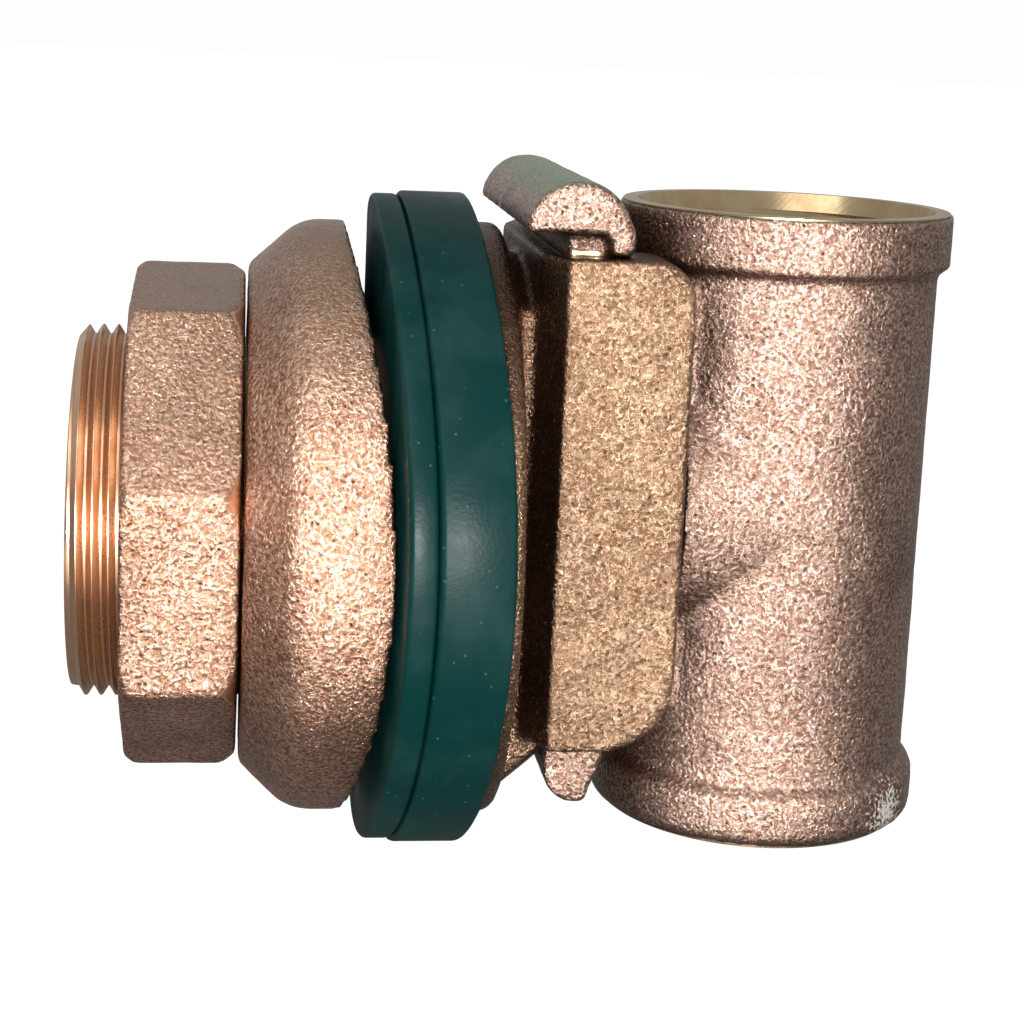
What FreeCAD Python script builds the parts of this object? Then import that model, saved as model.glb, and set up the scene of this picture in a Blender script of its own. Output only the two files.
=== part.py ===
"""Well-casing discharge fitting (pitless adapter) in cast bronze, in millimetres.

Frame: the origin is on the discharge axis, on the casing wall that the two gaskets
clamp. +X points into the well towards the drop-pipe tee, -X out through the casing,
and +Z up along the tee.
"""
import FreeCAD, Part
import os
import re

from FreeCAD import Placement, Rotation, Vector

SIZES = {
    # Clamp side: stub, nut, compression ring
    "thread_pitch": 2.209,
    "thread_radius": 27.8,
    "thread_depth": 1.25,
    "thread_start": -14.0,
    "stub_radius": 27.2,
    "stub_end": -46.5,
    "stub_chamfer": 1.0,
    "port_radius": 21.1,
    "port_chamfer": 1.4,
    "port_depth": 24.0,
    "water_radius": 17.5,
    "nut_left": -38.8,
    "nut_right": -22.3,
    "nut_corner_radius": 38.1,
    "nut_bore": 27.9,
    "nut_turn": 15.5,
    "nut_chamfer_radius": 36.2,
    "nut_chamfer_run": 2.4,
    "nut_back_round": 38.6,
    "ring_small_end": -22.0,
    "ring_small_radius": 37.5,
    "ring_band_start": -14.5,
    "ring_large_end": -7.7,
    "ring_large_radius": 44.6,
    "ring_bore": 28.2,
    "ring_saddle": 164.0,
    "ring_round": 8.0,
    "ring_cup_radius": 39.0,
    "ring_cup_floor": -14.0,
    # Gaskets, flexed to the same cylinder as the casing side of the flange
    "seat_curve": 340.0,
    "gasket_outer_radius": 48.8,
    "gasket_inner_radius": 49.3,
    "gasket_bore": 28.1,
    "outer_gasket_thickness": 4.0,
    "inner_gasket_thickness": 10.2,
    "gasket_gap": 0.05,
    # Flange, hub and receiver of the adapter body
    "flange_radius": 45.0,
    "flange_back": 15.6,
    "hub_half_width": 21.5,
    "hub_half_height": 41.0,
    "hub_root_radius": 43.5,
    "hub_face_radius": 37.0,
    "wall_root": 18.6,
    "slide_face": 22.0,
    "receiver_half_width": 30.0,
    "receiver_top": 43.3,
    "receiver_bottom": -28.0,
    "lip_back": 31.3,
    "lip_front": 40.0,
    "slot_half_width": 25.0,
    "mouth_half_width": 17.5,
    "lip_top_round": 6.0,
    "lip_bottom_round": 11.0,
    # Slide: wedge plate, stop bar, neck and tee
    "plate_back": 22.2,
    "plate_front": 31.0,
    "plate_half_width": 24.7,
    "plate_bottom": -37.5,
    "plate_lead_run": 2.5,
    "plate_lead_rise": 7.0,
    "plate_round": 5.0,
    "bar_bottom": 46.4,
    "bar_centre": 23.1,
    "bar_radius": 7.5,
    "bar_half_length": 28.6,
    "foot_left": 27.6,
    "foot_right": 31.2,
    "foot_inside": 22.0,
    "foot_bottom": 43.45,
    "neck_half_width": 17.1,
    "neck_water_radius": 14.6,
    "neck_top": 38.0,
    "neck_bottom": -25.0,
    "branch_radius": 23.9,
    "branch_start": 41.2,
    "branch_rise": 5.0,
    "tee_axis": 59.4,
    "barrel_radius": 23.7,
    "band_radius": 25.4,
    "bead_radius": 25.6,
    "tee_top": 49.4,
    "band_bottom": 40.9,
    "tee_bottom": -45.0,
    "bead_top": -35.8,
    "pipe_radius": 21.1,
    "pipe_depth": 22.0,
    "pipe_mouth": 22.6,
    "pipe_mouth_run": 2.8,
    "bore_radius": 18.2,
    "seal_groove_inner": 19.6,
    "seal_groove_outer": 23.4,
    "seal_groove_depth": 2.9,
    "seal_centre_radius": 21.5,
    "seal_section": 1.35,
}

X_AXIS = Rotation(Vector(0, 1, 0), 90)
Y_AXIS = Rotation(Vector(1, 0, 0), -90)
Z_AXIS = Rotation()


def make_sheet(doc):
    """Writes every driving size into the sheet, one alias to a row."""
    sheet = doc.addObject("Spreadsheet::Sheet", "Sizes")
    for row, (alias, value) in enumerate(SIZES.items(), start=1):
        sheet.set("A%d" % row, alias)
        sheet.set("B%d" % row, str(value))
        sheet.setAlias("B%d" % row, alias)
    doc.recompute()
    return sheet


def formula(text):
    """Turns a formula of bare aliases into one that reads the sheet."""
    return re.sub(r"\b([a-z]+_[a-z_]+)\b", r"Sizes.\1", text)


def bind(item, **formulas):
    """Binds properties to sheet formulas; x, y and z are the placement's base."""
    for name, text in formulas.items():
        path = "Placement.Base." + name if name in ("x", "y", "z") else name
        item.setExpression(path, formula(text))
    return item


def cylinder(doc, name, turn, radius, height, **place):
    """A cylinder that starts at its base point and grows along its turned axis."""
    item = doc.addObject("Part::Cylinder", name)
    item.Placement = Placement(Vector(), turn)
    return bind(item, Radius=radius, Height=height, **place)


def cone(doc, name, turn, base, top, height, **place):
    """A cone frustum that starts at its base point and grows along its turned axis."""
    item = doc.addObject("Part::Cone", name)
    item.Placement = Placement(Vector(), turn)
    return bind(item, Radius1=base, Radius2=top, Height=height, **place)


def block(doc, name, x_span, y_span, z_span):
    """A box between two formulas on each axis."""
    item = doc.addObject("Part::Box", name)
    low = [span[0] for span in (x_span, y_span, z_span)]
    size = ["(%s) - (%s)" % (span[1], span[0]) for span in (x_span, y_span, z_span)]
    bind(item, x=low[0], y=low[1], z=low[2])
    return bind(item, Length=size[0], Width=size[1], Height=size[2])


def fuse(doc, name, pieces):
    """One solid from several that overlap."""
    item = doc.addObject("Part::MultiFuse", name)
    item.Shapes = pieces
    item.Refine = True
    return item


def cut(doc, name, base, tools):
    """The base with each tool taken out of it."""
    for count, tool in enumerate(tools):
        item = doc.addObject("Part::Cut", "%s_%d" % (name, count))
        item.Base = base
        item.Tool = tool
        base = item
    base.Label = name
    return base


def common(doc, name, pieces):
    """What all the pieces share."""
    item = doc.addObject("Part::MultiCommon", name)
    item.Shapes = pieces
    return item


def rounded(doc, name, base, radius, choose):
    """Fillets the edges of the base whose midpoints the test chooses."""
    doc.recompute()
    picked = []
    for number, edge in enumerate(base.Shape.Edges, start=1):
        middle = edge.valueAt((edge.FirstParameter + edge.LastParameter) / 2)
        if choose(middle, edge):
            picked.append((number, radius, radius))
    item = doc.addObject("Part::Fillet", name)
    item.Base = base
    item.Edges = picked
    doc.recompute()
    if not picked or item.Shape.Volume == base.Shape.Volume:
        raise ValueError(name + ": no edge was rounded")
    return item


def revolved(doc, name, points):
    """A solid turned about X from an outline of (x, radius) points."""
    outline = [Vector(x, 0, radius) for x, radius in points]
    face = Part.Face(Part.makePolygon(outline + outline[:1]))
    item = doc.addObject("Part::Feature", name)
    item.Shape = face.revolve(Vector(), Vector(1, 0, 0), 360)
    return item


def seat_cylinder(doc, name, offset):
    """A tall cylinder whose near side is the curved seat, moved by an offset along X."""
    radius = "seat_curve - (%s)" % offset
    return cylinder(doc, name, Z_AXIS, radius, "200", x="seat_curve", z="-100")


def stub_outline(sheet):
    """Outside and inside of the stub, with the thread as rings of its pitch."""
    crest = sheet.thread_radius
    root = crest - sheet.thread_depth
    chamfer = sheet.stub_chamfer
    flat = sheet.thread_pitch / 8
    points = [(sheet.stub_end, root)]
    x = sheet.stub_end + chamfer
    while x + sheet.thread_pitch < sheet.thread_start:
        points.append((x, crest))
        points.append((x + flat, crest))
        points.append((x + sheet.thread_pitch / 2, root))
        points.append((x + sheet.thread_pitch / 2 + flat, root))
        x += sheet.thread_pitch
    points.append((x, crest))
    points.append((sheet.thread_start, crest))
    points.append((sheet.thread_start + 1, sheet.stub_radius))
    points.append((sheet.flange_back, sheet.stub_radius))
    mouth = sheet.port_radius + sheet.port_chamfer
    points.append((sheet.flange_back, sheet.water_radius))
    points.append((sheet.stub_end + sheet.port_depth + 3, sheet.water_radius))
    points.append((sheet.stub_end + sheet.port_depth, sheet.port_radius))
    points.append((sheet.stub_end + sheet.port_chamfer, sheet.port_radius))
    points.append((sheet.stub_end, mouth))
    return points


def lip_corners(doc):
    """The receiver block, with its two free corners rounded as seen from the side."""
    body = block(
        doc, "receiver_block", ("wall_root", "lip_front"),
        ("-receiver_half_width", "receiver_half_width"),
        ("receiver_bottom", "receiver_top"),
    )

    def top_edge(middle, edge):
        return middle.x > 39.9 and middle.z > 43.2 and abs(middle.y) < 1

    def bottom_edge(middle, edge):
        return middle.x > 39.9 and middle.z < -27.9 and abs(middle.y) < 1

    top = rounded(doc, "receiver_top_round", body, SIZES["lip_top_round"], top_edge)
    return rounded(doc, "receiver_ends", top, SIZES["lip_bottom_round"], bottom_edge)


def wall_relief(doc, side):
    """Wedge cut from the back of the receiver wall, so it slopes from hub to ear."""
    sheet = doc.Sizes
    inner = sheet.hub_half_width * side
    outer = (sheet.receiver_half_width + 1) * side
    corners = [
        Vector(sheet.wall_root - 1, inner, -60),
        Vector(sheet.wall_root, inner, -60),
        Vector(sheet.slide_face, outer, -60),
        Vector(sheet.wall_root - 1, outer, -60),
    ]
    face = Part.Face(Part.makePolygon(corners + corners[:1]))
    item = doc.addObject("Part::Feature", "wall_relief_%s" % ("far" if side > 0 else "near"))
    item.Shape = face.extrude(Vector(0, 0, 120))
    return item


def make_adapter_body(doc):
    """Threaded stub, clamping flange, hub and the T-slot receiver, one casting."""
    stub = revolved(doc, "stub", stub_outline(doc.Sizes))
    disc = cylinder(
        doc, "flange_disc", X_AXIS, "flange_radius", "flange_back - 5", x="5")
    seat = seat_cylinder(doc, "flange_seat", "inner_gasket_thickness + 2 * gasket_gap")
    flange = common(doc, "flange_plain", [disc, seat])

    def rim_edge(middle, edge):
        return middle.x > 15.5 and edge.Length > 100

    flange = rounded(doc, "flange", flange, 1.6, rim_edge)
    hub_box = block(
        doc, "hub_box", ("flange_back - 2", "slide_face"),
        ("-hub_half_width", "hub_half_width"), ("-hub_half_height", "hub_half_height + 2"),
    )
    hub_round = cone(
        doc, "hub_round", X_AXIS, "hub_root_radius", "hub_face_radius",
        "slide_face - flange_back + 2", x="flange_back - 2")
    hub = common(doc, "hub", [hub_box, hub_round])
    solid = fuse(doc, "body_solid", [stub, flange, hub, lip_corners(doc)])
    slot = block(
        doc, "slot", ("slide_face", "lip_back"),
        ("-slot_half_width", "slot_half_width"), ("-60", "60"),
    )
    mouth = block(
        doc, "mouth", ("slide_face + 1", "lip_front + 1"),
        ("-mouth_half_width", "mouth_half_width"), ("-60", "60"),
    )
    water = cylinder(
        doc, "body_waterway", X_AXIS, "water_radius", "slide_face + 15", x="-14")
    reliefs = [wall_relief(doc, -1), wall_relief(doc, 1)]
    return cut(doc, "adapter_body", solid, [slot, mouth, water] + reliefs)


def make_lock_nut(doc):
    """Octagonal cast nut, its ring side turned to a cone and its back corners rounded."""
    nut = doc.addObject("Part::Prism", "nut_prism")
    nut.Polygon = 8
    turn = Rotation(Vector(1, 0, 0), 90 - SIZES["nut_turn"])
    nut.Placement = Placement(Vector(), turn.multiply(X_AXIS))
    bind(nut, Circumradius="nut_corner_radius", Height="nut_right - nut_left", x="nut_left")
    turned = cone(
        doc, "nut_turned", X_AXIS, "nut_chamfer_radius + 20", "nut_chamfer_radius",
        "nut_chamfer_run * 10", x="nut_right - nut_chamfer_run * 10",
    )
    back = cone(
        doc, "nut_back", X_AXIS, "nut_back_round - 2", "nut_back_round + 38",
        "40", x="nut_left",
    )
    shaped = common(doc, "nut_shaped", [nut, turned, back])
    bore = cylinder(
        doc, "nut_bore_tool", X_AXIS, "nut_bore", "nut_right - nut_left + 2", x="nut_left - 1")
    leads = [
        cone(doc, "nut_lead_left", X_AXIS, "nut_bore + 1.2", "nut_bore", "1.2", x="nut_left"),
        cone(
            doc, "nut_lead_right", X_AXIS, "nut_bore", "nut_bore + 1.2", "1.2",
            x="nut_right - 1.2"),
    ]
    return cut(doc, "lock_nut", shaped, [bore] + leads)


def make_compression_ring(doc):
    """Cast thrust ring: a cone, a short band and a saddle end that faces the casing."""
    taper = cone(
        doc, "ring_taper", X_AXIS, "ring_small_radius", "ring_large_radius",
        "ring_band_start - ring_small_end", x="ring_small_end",
    )
    band = cylinder(
        doc, "ring_band", X_AXIS, "ring_large_radius", "20", x="ring_band_start")
    solid = fuse(doc, "ring_solid", [taper, band])

    def shoulder(middle, edge):
        return abs(middle.x - SIZES["ring_band_start"]) < 0.1

    solid = rounded(doc, "ring_rounded", solid, SIZES["ring_round"], shoulder)
    saddle = cylinder(
        doc, "ring_saddle_tool", Z_AXIS, "ring_saddle", "200",
        x="ring_large_end + ring_saddle", z="-100")
    bore = cylinder(doc, "ring_bore_tool", X_AXIS, "ring_bore", "40", x="ring_small_end - 1")
    cup = cylinder(doc, "ring_cup", X_AXIS, "ring_cup_radius", "30", x="ring_cup_floor")
    return cut(doc, "compression_ring", solid, [saddle, bore, cup])


def make_gasket(doc, name, radius, near, far):
    """A flat rubber ring flexed to the seat, between two offsets from the casing wall."""
    disc = cylinder(doc, name + "_disc", X_AXIS, radius, "40", x="-20")
    outside = seat_cylinder(doc, name + "_outside", near)
    inside = seat_cylinder(doc, name + "_inside", far)
    slab = common(doc, name + "_slab", [disc, outside])
    bore = cylinder(doc, name + "_bore", X_AXIS, "gasket_bore", "60", x="-30")
    return cut(doc, name, slab, [inside, bore])


def make_wedge_plate(doc):
    """The slide plate, with its lower end rounded behind and tapered in front."""
    plate = block(
        doc, "plate_block", ("plate_back", "plate_front"),
        ("-plate_half_width", "plate_half_width"), ("plate_bottom", "bar_bottom + 1"),
    )

    def back_edge(middle, edge):
        return middle.x < 22.3 and middle.z < -37.4

    plate = rounded(doc, "plate_rounded", plate, SIZES["plate_round"], back_edge)
    sheet = doc.Sizes
    corners = [
        Vector(sheet.plate_front - sheet.plate_lead_run, -40, sheet.plate_bottom - 0.01),
        Vector(sheet.plate_front + 1, -40, sheet.plate_bottom - 0.01),
        Vector(sheet.plate_front + 1, -40, sheet.plate_bottom + sheet.plate_lead_rise),
        Vector(sheet.plate_front, -40, sheet.plate_bottom + sheet.plate_lead_rise),
    ]
    lead = doc.addObject("Part::Feature", "plate_lead")
    face = Part.Face(Part.makePolygon(corners + corners[:1]))
    lead.Shape = face.extrude(Vector(0, 80, 0))
    return cut(doc, "wedge_plate", plate, [lead])


def make_stop_bar(doc):
    """Half-round bar across the top of the plate, with a foot at each end."""
    rod = cylinder(
        doc, "bar_rod", Y_AXIS, "bar_radius", "2 * bar_half_length",
        x="bar_centre", y="-bar_half_length", z="bar_bottom",
    )
    half = block(
        doc, "bar_half", ("bar_centre - 20", "bar_centre + 20"),
        ("-40", "40"), ("bar_bottom", "bar_bottom + 20"),
    )
    pieces = [common(doc, "bar", [rod, half])]
    for side, low, high in (
        ("near", "-bar_half_length", "-foot_inside"),
        ("far", "foot_inside", "bar_half_length"),
    ):
        pieces.append(block(
            doc, "foot_" + side, ("foot_left", "foot_right"), (low, high),
            ("foot_bottom", "bar_bottom + 1"),
        ))
    return pieces


def make_slide_tee(doc):
    """Wedge plate, stop bar, neck and the drop-pipe tee, one casting."""
    barrel = cylinder(
        doc, "barrel", Z_AXIS, "barrel_radius", "tee_top - tee_bottom",
        x="tee_axis", z="tee_bottom")
    band = cylinder(
        doc, "top_band", Z_AXIS, "band_radius", "tee_top - band_bottom",
        x="tee_axis", z="band_bottom")
    bead = cylinder(
        doc, "bottom_bead", Z_AXIS, "bead_radius", "bead_top - tee_bottom",
        x="tee_axis", z="tee_bottom")

    def bead_edge(middle, edge):
        return edge.Length > 100

    bead = rounded(doc, "bottom_bead_round", bead, 2.5, bead_edge)
    neck = block(
        doc, "neck", ("plate_front - 1", "tee_axis"),
        ("-neck_half_width", "neck_half_width"), ("neck_bottom", "neck_top"),
    )
    branch = cylinder(
        doc, "branch", X_AXIS, "branch_radius", "tee_axis - branch_start",
        x="branch_start", z="branch_rise")
    pieces = [barrel, band, bead, neck, branch, make_wedge_plate(doc)] + make_stop_bar(doc)
    solid = fuse(doc, "slide_solid", pieces)
    height = "tee_top - tee_bottom + 2"
    tools = [
        cylinder(
            doc, "tee_bore", Z_AXIS, "bore_radius", height, x="tee_axis", z="tee_bottom - 1"),
        cylinder(
            doc, "lift_thread", Z_AXIS, "pipe_radius", "pipe_depth",
            x="tee_axis", z="tee_top - pipe_depth"),
        cylinder(
            doc, "drop_thread", Z_AXIS, "pipe_radius", "pipe_depth",
            x="tee_axis", z="tee_bottom"),
        cone(
            doc, "lift_mouth", Z_AXIS, "pipe_radius", "pipe_mouth", "pipe_mouth_run",
            x="tee_axis", z="tee_top - pipe_mouth_run"),
        cone(
            doc, "drop_mouth", Z_AXIS, "pipe_mouth", "pipe_radius", "pipe_mouth_run",
            x="tee_axis", z="tee_bottom"),
        cylinder(
            doc, "side_waterway", X_AXIS, "neck_water_radius", "tee_axis - plate_back + 1",
            x="plate_back - 1"),
    ]
    groove_disc = cylinder(
        doc, "groove_disc", X_AXIS, "seal_groove_outer", "seal_groove_depth + 1",
        x="plate_back - 1")
    groove_core = cylinder(
        doc, "groove_core", X_AXIS, "seal_groove_inner", "seal_groove_depth + 2",
        x="plate_back - 1.5")
    groove = cut(doc, "seal_groove", groove_disc, [groove_core])
    return cut(doc, "slide_tee", solid, tools + [groove])


def make_seal_ring(doc):
    """O-ring in the groove of the slide plate, round the waterway."""
    item = doc.addObject("Part::Torus", "seal_torus")
    item.Placement = Placement(Vector(), X_AXIS)
    bind(item, Radius1="seal_centre_radius", Radius2="seal_section")
    bind(item, x="plate_back + seal_section + 0.1")
    item.Label = "seal_ring"
    return item


def write_parts(doc, pieces):
    """Checks every object of the document, then writes one STEP file for each piece."""
    doc.recompute()
    for item in doc.Objects:
        if "Invalid" in item.State or "Error" in item.State:
            raise ValueError("%s: %s" % (item.Name, item.State))
    for piece in pieces:
        shape = piece.Shape
        if shape.isNull() or not shape.isValid() or len(shape.Solids) != 1:
            raise ValueError("%s: %d solids" % (piece.Label, len(shape.Solids)))
    os.makedirs("parts", exist_ok=True)
    for piece in pieces:
        piece.Shape.exportStep("parts/%s.step" % piece.Label)
        box = piece.Shape.BoundBox
        print("%-18s %9.0f mm3  x %.1f..%.1f  y %.1f..%.1f  z %.1f..%.1f" % (
            piece.Label, piece.Shape.Volume, box.XMin, box.XMax,
            box.YMin, box.YMax, box.ZMin, box.ZMax))


def main():
    doc = FreeCAD.newDocument("pitless_adapter")
    make_sheet(doc)
    pieces = [
        make_adapter_body(doc),
        make_lock_nut(doc),
        make_compression_ring(doc),
        make_gasket(
            doc, "outer_gasket", "gasket_outer_radius",
            "-outer_gasket_thickness", "-gasket_gap"),
        make_gasket(
            doc, "inner_gasket", "gasket_inner_radius", "gasket_gap",
            "inner_gasket_thickness"),
        make_slide_tee(doc),
        make_seal_ring(doc),
    ]
    write_parts(doc, pieces)


main()
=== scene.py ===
# %% [markdown]
# # A bronze well-casing outlet, finished piece by piece
#
# This fitting carries water out through the wall of a drilled well. A threaded stub
# goes through a hole in the casing. A nut and a cone-shaped ring squeeze two green
# gaskets against the wall. Inside the well a tee hangs on a plate that slides down
# into a T-shaped receiver, so that the pump can be lifted out again.
#
# The CAD model fixes every size and place, so it is loaded first and never moved.
# The lesson then makes the skin that the CAD model can't have: sand-cast bronze,
# cut threads and moulded rubber.

# %% Load the CAD frame
import math

import bmesh
import bpy
from mathutils import Matrix, Vector, noise


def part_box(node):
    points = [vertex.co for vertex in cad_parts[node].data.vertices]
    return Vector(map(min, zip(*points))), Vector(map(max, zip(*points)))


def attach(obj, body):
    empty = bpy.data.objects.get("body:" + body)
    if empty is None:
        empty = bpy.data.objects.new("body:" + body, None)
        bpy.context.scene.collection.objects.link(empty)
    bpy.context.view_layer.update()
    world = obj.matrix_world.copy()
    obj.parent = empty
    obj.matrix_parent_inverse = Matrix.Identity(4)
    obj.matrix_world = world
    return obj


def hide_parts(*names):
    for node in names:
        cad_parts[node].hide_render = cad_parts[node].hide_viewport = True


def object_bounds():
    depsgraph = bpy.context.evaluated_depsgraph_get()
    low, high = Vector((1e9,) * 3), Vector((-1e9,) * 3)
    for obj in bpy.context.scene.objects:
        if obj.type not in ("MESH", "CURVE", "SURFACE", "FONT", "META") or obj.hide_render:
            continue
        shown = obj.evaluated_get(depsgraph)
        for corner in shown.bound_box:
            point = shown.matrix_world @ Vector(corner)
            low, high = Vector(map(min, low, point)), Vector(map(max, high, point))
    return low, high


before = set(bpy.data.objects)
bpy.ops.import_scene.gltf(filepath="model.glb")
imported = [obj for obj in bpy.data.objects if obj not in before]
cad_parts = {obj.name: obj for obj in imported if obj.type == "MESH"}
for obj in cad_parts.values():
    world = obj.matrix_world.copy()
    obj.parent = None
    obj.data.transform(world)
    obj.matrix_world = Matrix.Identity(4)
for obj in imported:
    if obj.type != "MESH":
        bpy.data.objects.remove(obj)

cad_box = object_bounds()
MM = 0.001
print("CAD box in mm:", [[round(v / MM, 1) for v in corner] for corner in cad_box])

# %% [markdown]
# ## Where things are
#
# A CAD node keeps its place in its own vertices, so a bounding box says where a
# face lies. Taking landmarks from the boxes where they can be, not from typed numbers,
# keeps the skin on the frame if the design changes. The discharge axis is X, and the
# tee's own axis is vertical, through the middle of its round barrel.

# %% Landmarks from the CAD boxes
stub_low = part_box("adapter_body")[0]
nut_low, nut_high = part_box("lock_nut")
tee_low, tee_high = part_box("slide_tee")
BEAD_RADIUS = 25.6 * MM
TEE_AXIS = tee_high.x - BEAD_RADIUS
TEE_TOP = 49.4 * MM
TEE_BOTTOM = tee_low.z
FLANGE_ROOT = 9.95 * MM
print("tee axis at x = %.1f mm" % (TEE_AXIS / MM))

# %% [markdown]
# ## The camera, first of all
#
# The camera comes first, because every later choice is judged through it. It looks
# along +Y from a little above the stub, slightly turned to the right, with a lens of
# about 73 mm, which is a normal close view of a hand-sized object. A small vertical
# shift puts the object in the middle of the frame without tilting its upright edges.

# %% Camera
CAMERA_PLACE = Vector((-24.0, -311.9, 74.75)) * MM
CAMERA_TURN = -0.135
CAMERA_TILT = -0.169
CAMERA_ROLL = -0.046
camera_data = bpy.data.cameras.new("camera")
camera_data.lens = 73.48
camera_data.sensor_width = 36.0
camera_data.shift_y = -0.129
camera_data.clip_start = 0.01
camera = bpy.data.objects.new("camera", camera_data)
bpy.context.scene.collection.objects.link(camera)
aim = Matrix.Rotation(CAMERA_TURN, 4, "Z") @ Matrix.Rotation(CAMERA_TILT, 4, "X")
upright = Matrix.Rotation(CAMERA_ROLL, 4, "Y") @ Matrix.Rotation(math.radians(90), 4, "X")
camera.matrix_world = Matrix.Translation(CAMERA_PLACE) @ aim @ upright
bpy.context.scene.camera = camera
print("camera at", [round(v, 3) for v in camera.location], "m")

# %% [markdown]
# ## Colours and nodes
#
# Makers give colours as sRGB hex values, but a shader works in linear light, so one
# function converts them. One more function adds a node: its properties are keyword
# arguments, and its inputs are a dictionary of constants or of sockets to link.

# %% Helpers for colours and shader nodes
def linear(code):
    """An sRGB hex colour as linear red, green, blue and alpha."""
    parts = [int(code[i:i + 2], 16) / 255 for i in (1, 3, 5)]
    return [p / 12.92 if p <= 0.04045 else ((p + 0.055) / 1.055) ** 2.4 for p in parts] + [1]


def add_node(tree, kind, inputs=None, **settings):
    """Adds one shader node, sets it up and links it."""
    node = tree.nodes.new("ShaderNode" + kind)
    for name, value in settings.items():
        setattr(node, name, value)
    for socket, value in (inputs or {}).items():
        if isinstance(value, bpy.types.NodeSocket):
            tree.links.new(value, node.inputs[socket])
        else:
            node.inputs[socket].default_value = value
    return node


def new_material(name):
    """An empty material: its node tree and its surface shader, already joined up."""
    material = bpy.data.materials.new(name)
    material.use_nodes = True
    tree = material.node_tree
    return material, tree, tree.nodes["Principled BSDF"]


def per_mm(size):
    """The scale of a pattern whose features are this many millimetres across."""
    return 1 / (size * MM)


# %% [markdown]
# ## The room: floor, sky and soft boxes
#
# The set is a plain studio: a white board for a floor, a pale room, two soft boxes
# and a glowing card. Metal shows whatever it reflects, so a room that is white all
# round turns bronze into chalk. Product studios keep the backdrop white and the rest
# of the room dim, and a Light Path node does the same: the camera sees white board
# and white sky, while every other ray meets a dimmer room. Faces that look up or aside
# then go brown. One small soft box stands low in front, and its narrow reflection
# makes the cast grain sparkle. A glowing card on the floor in front lights faces
# that lean downwards, and a broad, weak box fills in from the upper left.

# %% Floor, world and lights
FLOOR_HALF_SIZE = 6.0
floor_shape = bmesh.new()
bmesh.ops.create_grid(floor_shape, x_segments=1, y_segments=1, size=FLOOR_HALF_SIZE)
floor_mesh = bpy.data.meshes.new("floor")
floor_shape.to_mesh(floor_mesh)
floor_shape.free()
floor_mesh.transform(Matrix.Translation((0, 0, cad_box[0][2])))
floor = bpy.data.objects.new("floor", floor_mesh)
bpy.context.scene.collection.objects.link(floor)

# Matt white board, lit from below like a light table.
floor_paint, tree, shader = new_material("matt_white_board")
shader.inputs["Base Color"].default_value = linear("#585858")
shader.inputs["Roughness"].default_value = 0.9
shader.inputs["Emission Color"].default_value = linear("#FFFFFF")
seen = add_node(tree, "LightPath").outputs["Is Camera Ray"]
board_glow = add_node(tree, "MapRange", {"Value": seen, "To Min": 0.10, "To Max": 1.0})
tree.links.new(board_glow.outputs[0], shader.inputs["Emission Strength"])
floor_mesh.materials.append(floor_paint)

world = bpy.data.worlds.new("studio")
bpy.context.scene.world = world
world.use_nodes = True
sky_tree = world.node_tree
seen = add_node(sky_tree, "LightPath").outputs["Is Camera Ray"]
sky_glow = add_node(sky_tree, "MapRange", {"Value": seen, "To Min": 0.46, "To Max": 1.0})
sky = sky_tree.nodes["Background"]
sky.inputs["Color"].default_value = linear("#FCFDFF")
sky_tree.links.new(sky_glow.outputs[0], sky.inputs["Strength"])


def softbox(name, place, width, height, watts, target=(0.02, 0, 0)):
    """A rectangular area light that faces the target."""
    data = bpy.data.lights.new(name, "AREA")
    data.shape = "RECTANGLE"
    data.size = width
    data.size_y = height
    data.energy = watts
    light = bpy.data.objects.new(name, data)
    bpy.context.scene.collection.objects.link(light)
    away = Vector(place) - Vector(target)
    turn = away.to_track_quat("Z", "Y").to_matrix().to_4x4()
    light.matrix_world = Matrix.Translation(place) @ turn
    light.visible_camera = False


softbox("key", (-0.07, -0.80, 0.035), 0.14, 0.08, 9.6)
softbox("fill", (-0.50, -0.70, 0.80), 0.9, 0.9, 5)
softbox("card", (-0.02, -0.19, -0.047), 0.40, 0.20, 0.14, (-0.02, -0.19, 0.1))

# %% [markdown]
# ## Sand-cast bronze
#
# The body, nut, ring and tee are red brass or bronze, poured in sand moulds and then
# tumbled. Sand leaves a skin of rounded grains about a millimetre across, with pits
# between them. Tumbling polishes the tops of the grains and leaves brown tarnish in
# the hollows, which is why the skin sparkles and still looks dark between sparkles.
# Upward faces keep a trace of green-brown patina.
#
# A scan of real sand could be wrapped on, but a procedural skin has no seams and its
# grain has a true size. A noise makes the grains and a Voronoi pattern the pits
# between them. That height bends the light, and it steers the colour too, so dark
# sits in the hollows. The slow lumps of the mould come later, in the mesh itself.

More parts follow.
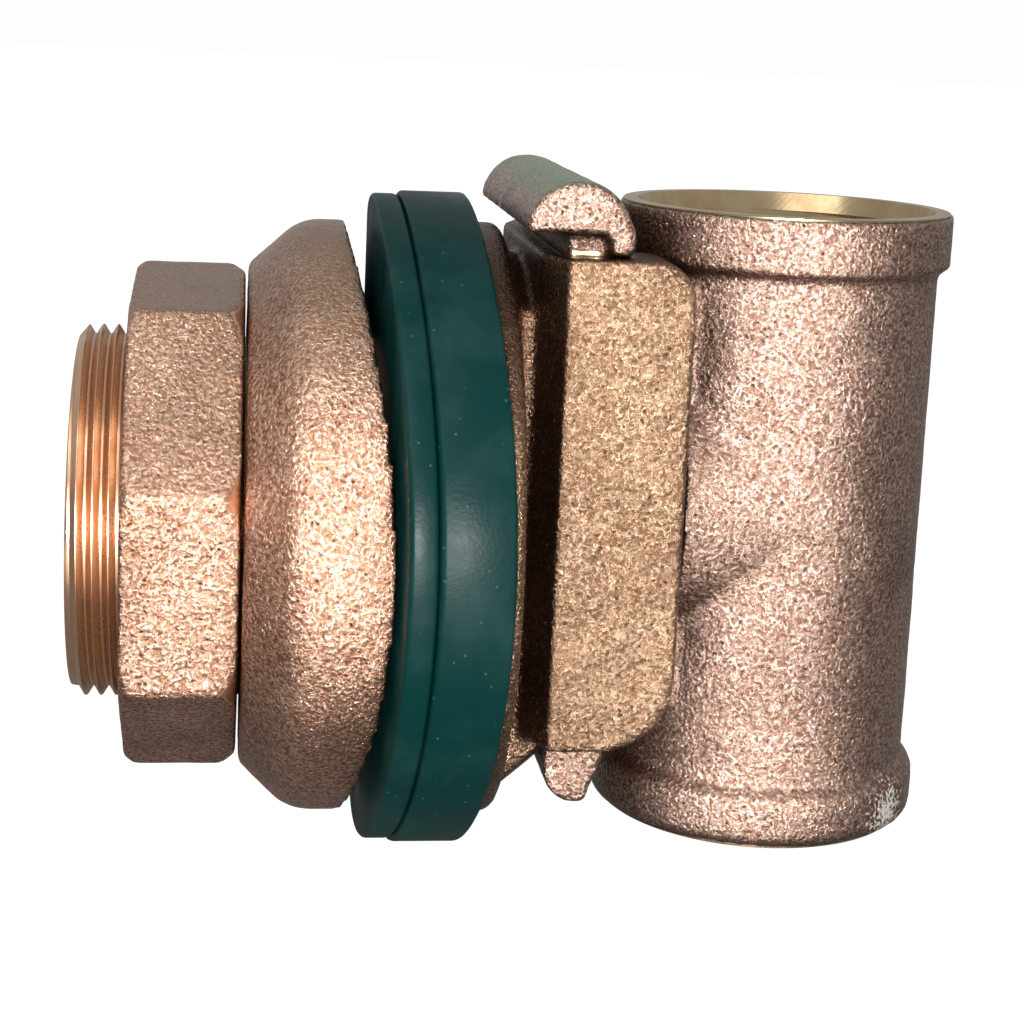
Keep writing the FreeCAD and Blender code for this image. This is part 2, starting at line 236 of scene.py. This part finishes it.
# %% Material: sand-cast bronze
def sand_cast_bronze(name, bright, mid, deep, crust, reach, scale_spots=()):
    """Tumbled sand-cast bronze: polished grain tops, tarnished hollows.

    The crust is the colour of upward faces, and the reach says how wide a recess may be,
    in millimetres, and still be darkened with painted shade.
    """
    material, tree, shader = new_material(name)
    place = add_node(tree, "TexCoord").outputs["Object"]
    facing = add_node(tree, "TexCoord").outputs["Normal"]
    # Sand grains, about 0.6 mm, with finer grit on them.
    sand = add_node(tree, "TexNoise", {
        "Vector": place, "Scale": per_mm(0.58), "Detail": 3.0, "Roughness": 0.68})
    # Pits where a grain tore out, about 1.1 mm apart and 0.3 mm wide.
    pores = add_node(tree, "TexVoronoi", {
        "Vector": place, "Scale": per_mm(1.1), "Randomness": 1.0})
    pits = add_node(tree, "MapRange", {
        "Value": pores.outputs["Distance"], "From Min": 0.05, "From Max": 0.24,
        "To Min": 0.0, "To Max": 0.20})
    # Slow colour drift from handling and heat, about 14 mm across.
    drift = add_node(tree, "TexNoise", {
        "Vector": place, "Scale": per_mm(14), "Detail": 4.0, "Roughness": 0.6})
    height = add_node(tree, "Math", {
        0: sand.outputs["Fac"], 1: pits.outputs[0]}, operation="ADD").outputs[0]
    bump = add_node(tree, "Bump", {
        "Height": height, "Strength": 1.0, "Distance": 0.36 * MM})
    tone = add_node(tree, "ValToRGB", {"Fac": height})
    ramp = tone.color_ramp
    ramp.elements[0].position = 0.42
    ramp.elements[0].color = linear(deep)
    ramp.elements[1].position = 0.84
    ramp.elements[1].color = linear(bright)
    middle = ramp.elements.new(0.64)
    middle.color = linear(mid)
    # Tarnish: the drift pulls whole areas towards the deep colour.
    tarnish = add_node(tree, "MapRange", {
        "Value": drift.outputs["Fac"], "From Min": 0.42, "From Max": 0.75,
        "To Min": 0.0, "To Max": 0.45})
    stained = add_node(tree, "Mix", {
        "Factor": tarnish.outputs[0], "A": tone.outputs["Color"], "B": linear(deep)},
        data_type="RGBA", blend_type="MIX")
    # Painted shade: the ambient occlusion node finds what is closed in, and recesses go dark
    # brown.
    shelter = add_node(tree, "AmbientOcclusion", {"Distance": reach * MM}, samples=3)
    recess_shade = add_node(tree, "MapRange", {
        "Value": shelter.outputs["AO"], "From Min": 0.30, "From Max": 0.90,
        "To Min": 0.7, "To Max": 0.0})
    shaded_tone = add_node(tree, "Mix", {
        "Factor": recess_shade.outputs[0], "A": stained.outputs["Result"], "B": linear("#3E281D")},
        data_type="RGBA", blend_type="MIX")
    # Patina on faces that look up.
    up = add_node(tree, "SeparateXYZ", {"Vector": facing})
    patina = add_node(tree, "MapRange", {
        "Value": up.outputs["Z"], "From Min": 0.45, "From Max": 0.95,
        "To Min": 0.0, "To Max": 0.75})
    # It is brown low down, and green on what stands above the casting's top.
    level = add_node(tree, "SeparateXYZ", {"Vector": place})
    green = add_node(tree, "MapRange", {
        "Value": level.outputs["Z"], "From Min": 46 * MM, "From Max": 50 * MM})
    film = add_node(tree, "Mix", {
        "Factor": green.outputs[0], "A": linear(crust), "B": linear("#93AD8B")},
        data_type="RGBA", blend_type="MIX")
    aged = add_node(tree, "Mix", {
        "Factor": patina.outputs[0], "A": shaded_tone.outputs["Result"], "B": film.outputs["Result"]},
        data_type="RGBA", blend_type="MIX")
    # Scale: hard water left white crumbs in a few places, each a point and a reach.
    scale = 0.0
    for spot, size in scale_spots:
        apart = add_node(tree, "VectorMath", {0: place, 1: spot}, operation="DISTANCE")
        close = add_node(tree, "MapRange", {
            "Value": apart.outputs["Value"], "From Min": 0.0, "From Max": size * MM,
            "To Min": 0.56, "To Max": 0.0})
        crumb = add_node(tree, "Math", {
            0: close.outputs[0], 1: sand.outputs["Fac"]}, operation="ADD")
        white = add_node(tree, "MapRange", {
            "Value": crumb.outputs[0], "From Min": 0.90, "From Max": 0.98,
            "To Min": 0.0, "To Max": 0.8})
        scale = add_node(tree, "Math", {0: white.outputs[0], 1: scale}, operation="MAXIMUM")
        scale = scale.outputs[0]
    finish = add_node(tree, "Mix", {
        "Factor": scale, "A": aged.outputs["Result"], "B": linear("#C9C8C0")},
        data_type="RGBA", blend_type="MIX")
    bare = add_node(tree, "Math", {0: 1.0, 1: scale}, operation="SUBTRACT")
    gloss = add_node(tree, "MapRange", {
        "Value": sand.outputs["Fac"], "From Min": 0.35, "From Max": 0.65,
        "To Min": 0.34, "To Max": 0.20})
    tree.links.new(finish.outputs["Result"], shader.inputs["Base Color"])
    tree.links.new(bare.outputs[0], shader.inputs["Metallic"])
    tree.links.new(gloss.outputs[0], shader.inputs["Roughness"])
    tree.links.new(bump.outputs[0], shader.inputs["Normal"])
    return material


body_bronze = sand_cast_bronze(
    "sand_cast_bronze_yellow", "#BD9F84", "#8F6E55", "#462B1C", "#5A4334", 15)
clamp_bronze = sand_cast_bronze(
    "sand_cast_bronze_copper", "#F9D6BF", "#B78468", "#5A3220", "#B0947C", 7)
tee_bronze = sand_cast_bronze(
    "sand_cast_bronze_rose", "#E9CFBF", "#A37C69", "#4C2D21", "#7A6252", 9, [
        ((76.5 * MM, -19 * MM, -41 * MM), 12),
        ((16 * MM, 5 * MM, 47 * MM), 5)])

# %% [markdown]
# ## Machined bronze
#
# Threads, rims and sliding faces are cut on a lathe or mill. The cutter leaves fine
# rings round the axis, and bare metal that is more orange and far smoother than the
# cast skin. A pattern that grows with the distance along the axis plus the distance
# from it draws those rings on cylinders and on end faces alike. Real tool marks are
# about 0.1 mm apart, too fine to see, so they are drawn at 0.35 mm.

# %% Material: lathe-turned bronze
def turned_bronze(name, axis_place, axis_turn, bright, deep):
    """Bare bronze with tool rings round the axis that passes through a point."""
    material, tree, shader = new_material(name)
    place = add_node(tree, "TexCoord").outputs["Object"]
    local = add_node(tree, "Mapping", {
        "Vector": place, "Location": axis_place, "Rotation": axis_turn})
    split = add_node(tree, "SeparateXYZ", {"Vector": local.outputs[0]})
    across = add_node(tree, "CombineXYZ", {"Y": split.outputs["Y"], "Z": split.outputs["Z"]})
    radius = add_node(tree, "VectorMath", {0: across.outputs[0]}, operation="LENGTH")
    travel = add_node(tree, "Math", {
        0: radius.outputs["Value"], 1: split.outputs["X"]}, operation="ADD")
    rings = add_node(tree, "TexNoise", {
        "W": travel.outputs[0], "Scale": per_mm(0.35), "Detail": 2.0},
        noise_dimensions="1D")
    stain = add_node(tree, "TexNoise", {
        "Vector": place, "Scale": per_mm(5), "Detail": 5.0, "Roughness": 0.65})
    tone = add_node(tree, "Mix", {
        "Factor": stain.outputs["Fac"], "A": linear(bright), "B": linear(deep)},
        data_type="RGBA", blend_type="MIX")
    # Painted shade: the ambient occlusion node darkens thread roots and other narrow recesses
    # towards a shadow brown.
    shelter = add_node(tree, "AmbientOcclusion", {"Distance": 2.5 * MM}, samples=3)
    recess_shade = add_node(tree, "MapRange", {
        "Value": shelter.outputs["AO"], "From Min": 0.1, "From Max": 0.5,
        "To Min": 0.7, "To Max": 0.0})
    shaded_tone = add_node(tree, "Mix", {
        "Factor": recess_shade.outputs[0], "A": tone.outputs["Result"], "B": linear("#3A2114")},
        data_type="RGBA", blend_type="MIX")
    bump = add_node(tree, "Bump", {
        "Height": rings.outputs["Fac"], "Strength": 0.5, "Distance": 0.03 * MM})
    gloss = add_node(tree, "MapRange", {
        "Value": stain.outputs["Fac"], "From Min": 0.3, "From Max": 0.7,
        "To Min": 0.20, "To Max": 0.34})
    tree.links.new(shaded_tone.outputs["Result"], shader.inputs["Base Color"])
    tree.links.new(gloss.outputs[0], shader.inputs["Roughness"])
    tree.links.new(bump.outputs[0], shader.inputs["Normal"])
    shader.inputs["Metallic"].default_value = 1.0
    return material


stub_finish = turned_bronze(
    "turned_bronze_stub", (0, 0, 0), (0, 0, 0), "#F8D6B8", "#D09A72")
tee_finish = turned_bronze(
    "turned_bronze_tee", (0, 0, TEE_AXIS), (0, math.radians(-90), 0), "#DCC9A2", "#A8855C")

# %% [markdown]
# ## Rubber
#
# The gaskets are moulded green nitrile. Rubber is not a metal: its colour lies under
# a faint gloss, and that gloss is broken by the spark-eroded mould and by dust. The
# O-ring is black nitrile, smoother because it is greased.

# %% Materials: green and black nitrile
def nitrile(name, colour, dusty, roughness, dust_amount):
    """Moulded rubber with a fine mould texture and specks of dust."""
    material, tree, shader = new_material(name)
    place = add_node(tree, "TexCoord").outputs["Object"]
    # The mould's own texture, about 0.5 mm.
    skin = add_node(tree, "TexNoise", {
        "Vector": place, "Scale": per_mm(0.6), "Detail": 2.0})
    bloom = add_node(tree, "TexNoise", {
        "Vector": place, "Scale": per_mm(11), "Detail": 4.0, "Roughness": 0.6})
    specks = add_node(tree, "TexVoronoi", {
        "Vector": place, "Scale": per_mm(2.4), "Randomness": 1.0})
    speck = add_node(tree, "MapRange", {
        "Value": specks.outputs["Distance"], "From Min": 0.05, "From Max": 0.10,
        "To Min": dust_amount, "To Max": 0.0})
    haze = add_node(tree, "MapRange", {
        "Value": bloom.outputs["Fac"], "From Min": 0.45, "From Max": 0.8,
        "To Min": 0.0, "To Max": 0.12})
    dust = add_node(tree, "Math", {
        0: speck.outputs[0], 1: haze.outputs[0]}, operation="MAXIMUM")
    tone = add_node(tree, "Mix", {
        "Factor": dust.outputs[0], "A": linear(colour), "B": linear(dusty)},
        data_type="RGBA", blend_type="MIX")
    bump = add_node(tree, "Bump", {
        "Height": skin.outputs["Fac"], "Strength": 0.5, "Distance": 0.05 * MM})
    gloss = add_node(tree, "MapRange", {
        "Value": bloom.outputs["Fac"], "From Min": 0.3, "From Max": 0.7,
        "To Min": roughness - 0.06, "To Max": roughness + 0.12})
    tree.links.new(tone.outputs["Result"], shader.inputs["Base Color"])
    tree.links.new(gloss.outputs[0], shader.inputs["Roughness"])
    tree.links.new(bump.outputs[0], shader.inputs["Normal"])
    shader.inputs["IOR"].default_value = 1.52
    shader.inputs["Specular IOR Level"].default_value = 0.11
    return material


green_rubber = nitrile("moulded_nitrile_green", "#032826", "#4A6664", 0.36, 0.4)
black_rubber = nitrile("greased_nitrile_black", "#101112", "#3A3C3E", 0.26, 0.1)

# %% [markdown]
# ## From a shape to a piece
#
# Every piece ends the same way: its bmesh becomes a mesh at the origin, it takes its
# materials, and it rides on the CAD body that it belongs to. Smooth shading with
# sharp edges kept above an angle suits both cut metal and rubber.

# %% Helper: show a piece
def show(shape, name, body, materials, replaced, sharp=34):
    """Makes a bmesh a finished piece that rides on a CAD body."""
    bmesh.ops.recalc_face_normals(shape, faces=shape.faces)
    mesh = bpy.data.meshes.new(name)
    shape.to_mesh(mesh)
    shape.free()
    mesh.shade_smooth()
    mesh.set_sharp_from_angle(angle=math.radians(sharp))
    for material in materials:
        mesh.materials.append(material)
    piece = bpy.data.objects.new(name, mesh)
    bpy.context.scene.collection.objects.link(piece)
    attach(piece, body)
    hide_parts(replaced)
    mesh.calc_loop_triangles()
    print("%-16s %7d triangles" % (name, len(mesh.loop_triangles)))
    return piece


# %% [markdown]
# ## A sand-casting, from its CAD shape
#
# A casting has no sharp edge: sand rounds every corner to about a millimetre. The
# bevel operator could round the edges one by one, but where a boss meets a wall the
# blends run into each other and fail. A voxel remesh doesn't care: it wraps the whole
# shape in small even quads, and a few rounds of smoothing then soften every corner,
# inside and out. Those even quads also carry the uneven skin, pushed in along the
# normals by noise. The push only goes inwards, so the casting stays in its CAD size.
# Faces that were machined after casting are left flat and take the second material.

# %% Helper: CAD copy and casting skin
def cad_copy(node):
    """A node's own shape as one joined skin."""
    shape = bmesh.new()
    shape.from_mesh(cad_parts[node].data)
    bmesh.ops.remove_doubles(shape, verts=shape.verts, dist=0.001 * MM)
    return shape


def remeshed(shape, voxel):
    """The same closed shape, wrapped in even quads of about the voxel size."""
    mesh = bpy.data.meshes.new("draft")
    shape.to_mesh(mesh)
    shape.free()
    draft = bpy.data.objects.new("draft", mesh)
    bpy.context.scene.collection.objects.link(draft)
    wrap = draft.modifiers.new("wrap", "REMESH")
    wrap.mode = "VOXEL"
    wrap.voxel_size = voxel
    wrapped = bpy.data.meshes.new_from_object(
        draft.evaluated_get(bpy.context.evaluated_depsgraph_get()))
    bpy.data.objects.remove(draft)
    bpy.data.meshes.remove(mesh)
    result = bmesh.new()
    result.from_mesh(wrapped)
    bpy.data.meshes.remove(wrapped)
    return result


# The skin's unevenness: how wide and how deep, in millimetres.
LUMP_SIZE, LUMP_DEPTH = 5, 0.07
GRAIN_SIZE, GRAIN_DEPTH = 1.7, 0.04
SKIN_INSET = 0.08


def cast_skin(shape, voxel, machined, softening=3):
    """Rounds a closed shape like a casting and gives it an uneven skin."""
    skin = remeshed(shape, voxel)
    for _ in range(softening):
        bmesh.ops.smooth_vert(
            skin, verts=skin.verts, factor=0.5,
            use_axis_x=True, use_axis_y=True, use_axis_z=True)
    skin.normal_update()
    moves = []
    for vert in skin.verts:
        if machined(vert.co, vert.normal):
            moves.append(0.0)
            continue
        lump = LUMP_DEPTH * noise.noise(vert.co * per_mm(LUMP_SIZE))
        grain = GRAIN_DEPTH * noise.noise(vert.co * per_mm(GRAIN_SIZE))
        moves.append((lump + grain - SKIN_INSET) * MM)
    for vert, move in zip(skin.verts, moves):
        vert.co += vert.normal * move
    for face in skin.faces:
        face.material_index = int(machined(face.calc_center_median(), face.normal))
    return skin


# %% [markdown]
# ## Turned work: outlines, threads and rims
#
# Anything from a lathe is an outline spun round an axis. A thread is the same spin
# with a step forward: a row of teeth that moves on by one pitch in one turn meets
# its own start one tooth later, and that is the true helix of a right-hand thread.
# Copies of a ring would be easier, but their crests would lie square to the axis,
# and a nut could never turn on them.
#
# Both cuts leave open rims. Blender's bridge operator can join two rims, but when they
# have different numbers of points it may pair them across the bore. So a zip joins
# them instead: it walks round both at once and always steps on whichever is behind.

# %% Helpers for turned pieces
PITCH = 2.209 * MM
STEPS = 144
# One tooth as (share of a pitch, share of the depth), flat at root and crest.
TOOTH = [(0, 0), (0.07, 0), (0.43, 0.94), (0.47, 1), (0.53, 1), (0.57, 0.94), (0.93, 0)]


def spin_outline(shape, outline, forward=0.0, steps=STEPS):
    """Spins (x, radius) points once round the X axis, moving forward on the way."""
    verts = [shape.verts.new((x, 0, radius)) for x, radius in outline]
    edges = [shape.edges.new(pair) for pair in zip(verts, verts[1:])]
    bmesh.ops.spin(
        shape, geom=verts + edges, cent=(0, 0, 0), axis=(1, 0, 0),
        dvec=(forward / steps, 0, 0), angle=math.tau, steps=steps,
        use_merge=(forward == 0), use_duplicate=False)


def add_thread(shape, start, first, last, low, high, taper=0.0):
    """Adds a helix from first to last, whose teeth are in step with a start."""
    count = math.ceil((last - start) / PITCH) + 2
    teeth = [(start + (turn + x - 1) * PITCH, low + y * (high - low))
             for turn in range(count) for x, y in TOOTH]
    helix = bmesh.new()
    spin_outline(helix, teeth + [(start + (count - 1) * PITCH, low)], PITCH)
    bmesh.ops.remove_doubles(helix, verts=helix.verts, dist=0.001 * MM)
    for place, side in ((first, -1), (last, 1)):
        bmesh.ops.bisect_plane(
            helix, geom=helix.verts[:] + helix.edges[:] + helix.faces[:],
            plane_co=(place, 0, 0), plane_no=(side, 0, 0), clear_outer=True)
    for vert in helix.verts:
        across = Vector((0, vert.co.y, vert.co.z))
        vert.co -= across.normalized() * taper * (vert.co.x - first)
    mesh = bpy.data.meshes.new("helix")
    helix.to_mesh(mesh)
    helix.free()
    shape.from_mesh(mesh)
    bpy.data.meshes.remove(mesh)


def open_loops(shape):
    """The open rims by plane across the axis, each a list of points in turning order."""
    planes = {}
    for vert in shape.verts:
        if vert.is_boundary:
            planes.setdefault(round(vert.co.x, 5), set()).add(vert)
    for waiting in planes.values():
        loops = []
        while waiting:
            loop = [waiting.pop()]
            for vert in loop:
                for edge in vert.link_edges:
                    other = edge.other_vert(vert)
                    if edge.is_boundary and other in waiting:
                        waiting.remove(other)
                        loop.append(other)
            loops.append(sorted(loop, key=lambda v: math.atan2(v.co.z, v.co.y)))
        yield loops


def join_rims(shape):
    """Zips up each two open rims that lie in one plane, by their angle round the axis."""
    def angle(loop, step):
        vert = loop[step % len(loop)]
        return math.atan2(vert.co.z, vert.co.y) + math.tau * (step // len(loop))

    for one, two in list(open_loops(shape)):
        i = j = 0
        while i < len(one) or j < len(two):
            here, there = one[i % len(one)], two[j % len(two)]
            if angle(one, i + 1) < angle(two, j + 1):
                i += 1
                shape.faces.new((here, one[i % len(one)], there))
            else:
                j += 1
                shape.faces.new((here, two[j % len(two)], there))


# %% [markdown]
# ## The discharge stub
#
# The stub is the threaded end that pokes out through the casing. Outside it carries
# the nut's thread, and inside a pipe thread for the buried line. It is cut from the
# same casting as the flange, but it is all lathe work, so it is modelled as a turned
# piece that starts inside the flange. Its free end has a lead chamfer: no point may
# stand higher than a cone that drops to the root.

# %% Stub with its outer and inner thread
CREST = 27.8 * MM
ROOT = 26.4 * MM
WATER = 17.4 * MM
PORT_LOW = 20.4 * MM
PORT_HIGH = 21.7 * MM
STUB_END = stub_low.x
THREAD_END = STUB_END + 32.5 * MM
PORT_FLOOR = STUB_END + 24 * MM
PORT_MOUTH = STUB_END + 1.6 * MM
LEAD = 1.3 * MM

stub = bmesh.new()
add_thread(stub, STUB_END, STUB_END, THREAD_END, ROOT, CREST)
for vert in stub.verts:
    across = Vector((0, vert.co.y, vert.co.z))
    allowed = ROOT - 0.2 * MM + (vert.co.x - STUB_END) * (CREST - ROOT + 0.2 * MM) / LEAD
    if across.length > allowed:
        vert.co -= across.normalized() * (across.length - allowed)
add_thread(stub, STUB_END, PORT_MOUTH, PORT_FLOOR, PORT_LOW, PORT_HIGH)
spin_outline(stub, [
    (THREAD_END, CREST - 0.6 * MM), (FLANGE_ROOT + 2 * MM, CREST - 0.6 * MM),
    (FLANGE_ROOT + 2 * MM, WATER), (PORT_FLOOR + 3 * MM, WATER), (PORT_FLOOR, PORT_LOW)])
spin_outline(stub, [(PORT_MOUTH, PORT_HIGH), (STUB_END, 22.6 * MM)])
join_rims(stub)
show(stub, "stub_thread", "adapter", [stub_finish], "adapter_body", sharp=28)

# %% [markdown]
# ## The body casting
#
# Flange, hub and receiver are one casting. The stub's part of the CAD shape is cut
# off with a plane, because the turned stub takes its place. The sliding face and the
# sides of the T-slot were milled, so they stay flat and smooth.

# %% Flange, hub and receiver
SLOT_HALF_WIDTH = 25.1 * MM
SLOT_BACK = 21.7 * MM
SLOT_FRONT = 31.5 * MM


def body_milled(place, normal):
    """The T-slot: the sliding face, the slot sides and the backs of the lips."""
    in_slot = abs(place.y) < SLOT_HALF_WIDTH and SLOT_BACK < place.x < SLOT_FRONT
    return in_slot and abs(normal.z) < 0.5


body = cad_copy("adapter_body")
bmesh.ops.bisect_plane(
    body, geom=body.verts[:] + body.edges[:] + body.faces[:],
    plane_co=(FLANGE_ROOT, 0, 0), plane_no=(-1, 0, 0), clear_outer=True)
join_rims(body)
body = cast_skin(body, 0.66 * MM, body_milled)
show(body, "body_casting", "adapter", [body_bronze, tee_finish],
     "adapter_body", sharp=60)

# %% [markdown]
# ## The lock nut
#
# An eight-sided cast nut. Its right side was faced and chamfered on a lathe, which
# leaves the smooth cone that cuts across the corners. The thread inside is a sleeve
# of its own in the cast blank, in step with the stub's thread, so its teeth lie
# between the stub's teeth at every turn.

# %% Nut blank and its thread
NUT_BORE = 29.4 * MM
NUT_BORE_LIMIT = 30 * MM


def nut_turned(place, normal):
    """The faced and chamfered side, towards the ring."""
    return normal.x > 0.45


nut = cad_copy("lock_nut")
for vert in nut.verts:
    across = Vector((0, vert.co.y, vert.co.z))
    if across.length < NUT_BORE_LIMIT:
        vert.co += across.normalized() * (NUT_BORE - across.length)
nut = cast_skin(nut, 0.5 * MM, nut_turned, softening=4)
show(nut, "nut_blank", "nut", [clamp_bronze, stub_finish],
     "lock_nut", sharp=60)

nut_sleeve = bmesh.new()
NUT_LEAD = 1.2 * MM
CLEAR = 0.12 * MM
add_thread(nut_sleeve, STUB_END, nut_low.x + NUT_LEAD, nut_high.x - NUT_LEAD,
           ROOT + CLEAR, CREST + CLEAR)
spin_outline(nut_sleeve, [
    (nut_high.x - NUT_LEAD, CREST), (nut_high.x - 0.1 * MM, CREST + NUT_LEAD),
    (nut_high.x - 0.1 * MM, NUT_BORE + 0.1 * MM), (nut_low.x + 0.2 * MM, NUT_BORE + 0.1 * MM),
    (nut_low.x + 0.2 * MM, CREST + NUT_LEAD), (nut_low.x + NUT_LEAD, CREST)])
join_rims(nut_sleeve)
show(nut_sleeve, "nut_thread", "nut", [stub_finish], "lock_nut", sharp=28)

# %% [markdown]
# ## The compression ring
#
# The ring turns the nut's push into an even squeeze on the gasket. It is cast all
# over, with a cone towards the nut and a saddle that follows the round casing.

# %% Ring
def none_machined(place, normal):
    """Cast all over."""
    return False


ring = cast_skin(cad_copy("compression_ring"), 0.6 * MM, none_machined, softening=5)
show(ring, "ring_casting", "ring", [clamp_bronze], "compression_ring", sharp=60)

# %% [markdown]
# ## The two gaskets
#
# Each gasket is a flat moulded ring, spun from a rectangle whose corners are bevelled.
# Once squeezed between the flange and the casing it follows their curve, so each
# point moves along X on to a cylinder round the well's axis. A little noise makes
# the rubber's outline less perfect.

# %% Outer and inner gasket
SEAT_CURVE = 340 * MM
GASKET_BORE = 28.1 * MM


def gasket(name, body, node, near, far, radius):
    """A moulded ring between two distances from the casing wall."""
    shape = bmesh.new()
    middle = (GASKET_BORE + radius) / 2
    spin_outline(shape, [
        (near, GASKET_BORE), (near, middle), (near, radius), (far, radius), (far, middle),
        (far, GASKET_BORE), (near, GASKET_BORE)], steps=300)
    bmesh.ops.remove_doubles(shape, verts=shape.verts, dist=0.001 * MM)
    shape.normal_update()
    corners = [e for e in shape.edges if e.is_manifold and e.calc_face_angle() > math.radians(80)]
    bmesh.ops.bevel(
        shape, geom=corners, offset=0.7 * MM, offset_type="OFFSET", affect="EDGES",
        segments=3, profile=0.5, material=-1)
    for vert in shape.verts:
        across = Vector((0, vert.co.y, vert.co.z))
        wave = noise.noise(across * per_mm(9)) * 0.05 + noise.noise(vert.co * per_mm(2.2)) * 0.03
        vert.co -= across.normalized() * (0.06 + wave) * MM
        flat = SEAT_CURVE - vert.co.x
        vert.co.x = SEAT_CURVE - math.sqrt(flat ** 2 - vert.co.y ** 2)
    show(shape, name, body, [green_rubber], node, sharp=50)


gasket("outer_rubber", "outer_seal", "outer_gasket", -3.95 * MM, -0.05 * MM, 48.8 * MM)
gasket("inner_rubber", "inner_seal", "inner_gasket", 0.1 * MM, 10.15 * MM, 49.3 * MM)

# %% [markdown]
# ## The slide tee
#
# Wedge plate, stop bar, neck and tee are one casting. The two pipe threads are cut in
# sleeves of their own, so the cast shape's sockets are first opened out to take them,
# and its end faces are lowered a little: the machined rims lie on top.

# %% Tee casting
SOCKET = 22.4 * MM
SOCKET_MOUTH = 24.2 * MM
RIM = 0.15 * MM
PLATE_FRONT = 31.1 * MM
PLATE_LOW = -29 * MM
PLATE_HIGH = 44 * MM


def tee_milled(place, normal):
    """The plate's sliding faces, above its cast lower end."""
    return place.x < PLATE_FRONT and PLATE_LOW < place.z < PLATE_HIGH


tee = cad_copy("slide_tee")
for vert in tee.verts:
    across = Vector((vert.co.x - TEE_AXIS, vert.co.y, 0))
    at_end = vert.co.z > TEE_TOP - RIM or vert.co.z < TEE_BOTTOM + RIM
    if 20 * MM < across.length < 22.8 * MM and abs(vert.co.z) > 20 * MM:
        wider = SOCKET_MOUTH if at_end else SOCKET
        vert.co += across.normalized() * (wider - across.length)
    if at_end and across.length < 26 * MM:
        vert.co.z -= math.copysign(RIM, vert.co.z)
tee = cast_skin(tee, 0.70 * MM, tee_milled, softening=2)
show(tee, "tee_casting", "slide", [tee_bronze, tee_finish],
     "slide_tee", sharp=60)

# %% [markdown]
# ## The tee's two pipe threads
#
# Both ends of the tee have the same taper thread. The sleeve is modelled once in its
# own frame, mouth at zero and growing along +X, and a matrix stands it in the top or
# the bottom of the tee. The taper is the usual 1 in 16 on the diameter. The mouth is
# a plain cone, and the rim round it is faced flat, which gives the bright white line.

# %% Pipe-thread sleeves
MOUTH_RUN = 2.8 * MM
SOCKET_DEPTH = 22 * MM
PIPE_TAPER = 1 / 32


def pipe_sleeve(name, place, turn, rim_radius):
    """A faced rim with a taper thread behind it."""
    shape = bmesh.new()
    add_thread(shape, 0, MOUTH_RUN, SOCKET_DEPTH, 20.5 * MM, 21.75 * MM, PIPE_TAPER)
    end = SOCKET_DEPTH - 0.02 * MM
    spin_outline(shape, [
        (MOUTH_RUN, 21.8 * MM), (0, 22.7 * MM), (0, rim_radius - 0.15 * MM),
        (0.12 * MM, rim_radius), (RIM + 0.2 * MM, rim_radius),
        (RIM + 0.2 * MM, SOCKET_MOUTH), (MOUTH_RUN, SOCKET + 0.1 * MM),
        (end, SOCKET + 0.1 * MM), (SOCKET_DEPTH, SOCKET)])
    join_rims(shape)
    shape.transform(Matrix.Translation(place) @ turn)
    show(shape, name, "slide", [tee_finish], "slide_tee", sharp=28)


pipe_sleeve("lift_thread", (TEE_AXIS, 0, TEE_TOP), Matrix.Rotation(math.radians(90), 4, "Y"),
            24.9 * MM)
pipe_sleeve("drop_thread", (TEE_AXIS, 0, TEE_BOTTOM), Matrix.Rotation(math.radians(-90), 4, "Y"),
            23.9 * MM)

# %% [markdown]
# ## The O-ring
#
# The seal ring lies in a groove on the back of the plate and shows only when the tee
# is lifted out. A small circle spun round the discharge axis makes it.

# %% Seal ring
SEAL_RADIUS = 21.5 * MM
SEAL_SECTION = 1.35 * MM
seal_low, seal_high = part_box("seal_ring")
seal_x = (seal_low.x + seal_high.x) / 2
section = [
    (seal_x + SEAL_SECTION * math.cos(math.tau * i / 20),
     SEAL_RADIUS + SEAL_SECTION * math.sin(math.tau * i / 20)) for i in range(21)]
seal = bmesh.new()
spin_outline(seal, section)
bmesh.ops.remove_doubles(seal, verts=seal.verts, dist=0.001 * MM)
show(seal, "seal_rubber", "slide", [black_rubber], "seal_ring")

# %% Finish: the view transform
bpy.context.scene.view_settings.view_transform = "Standard"
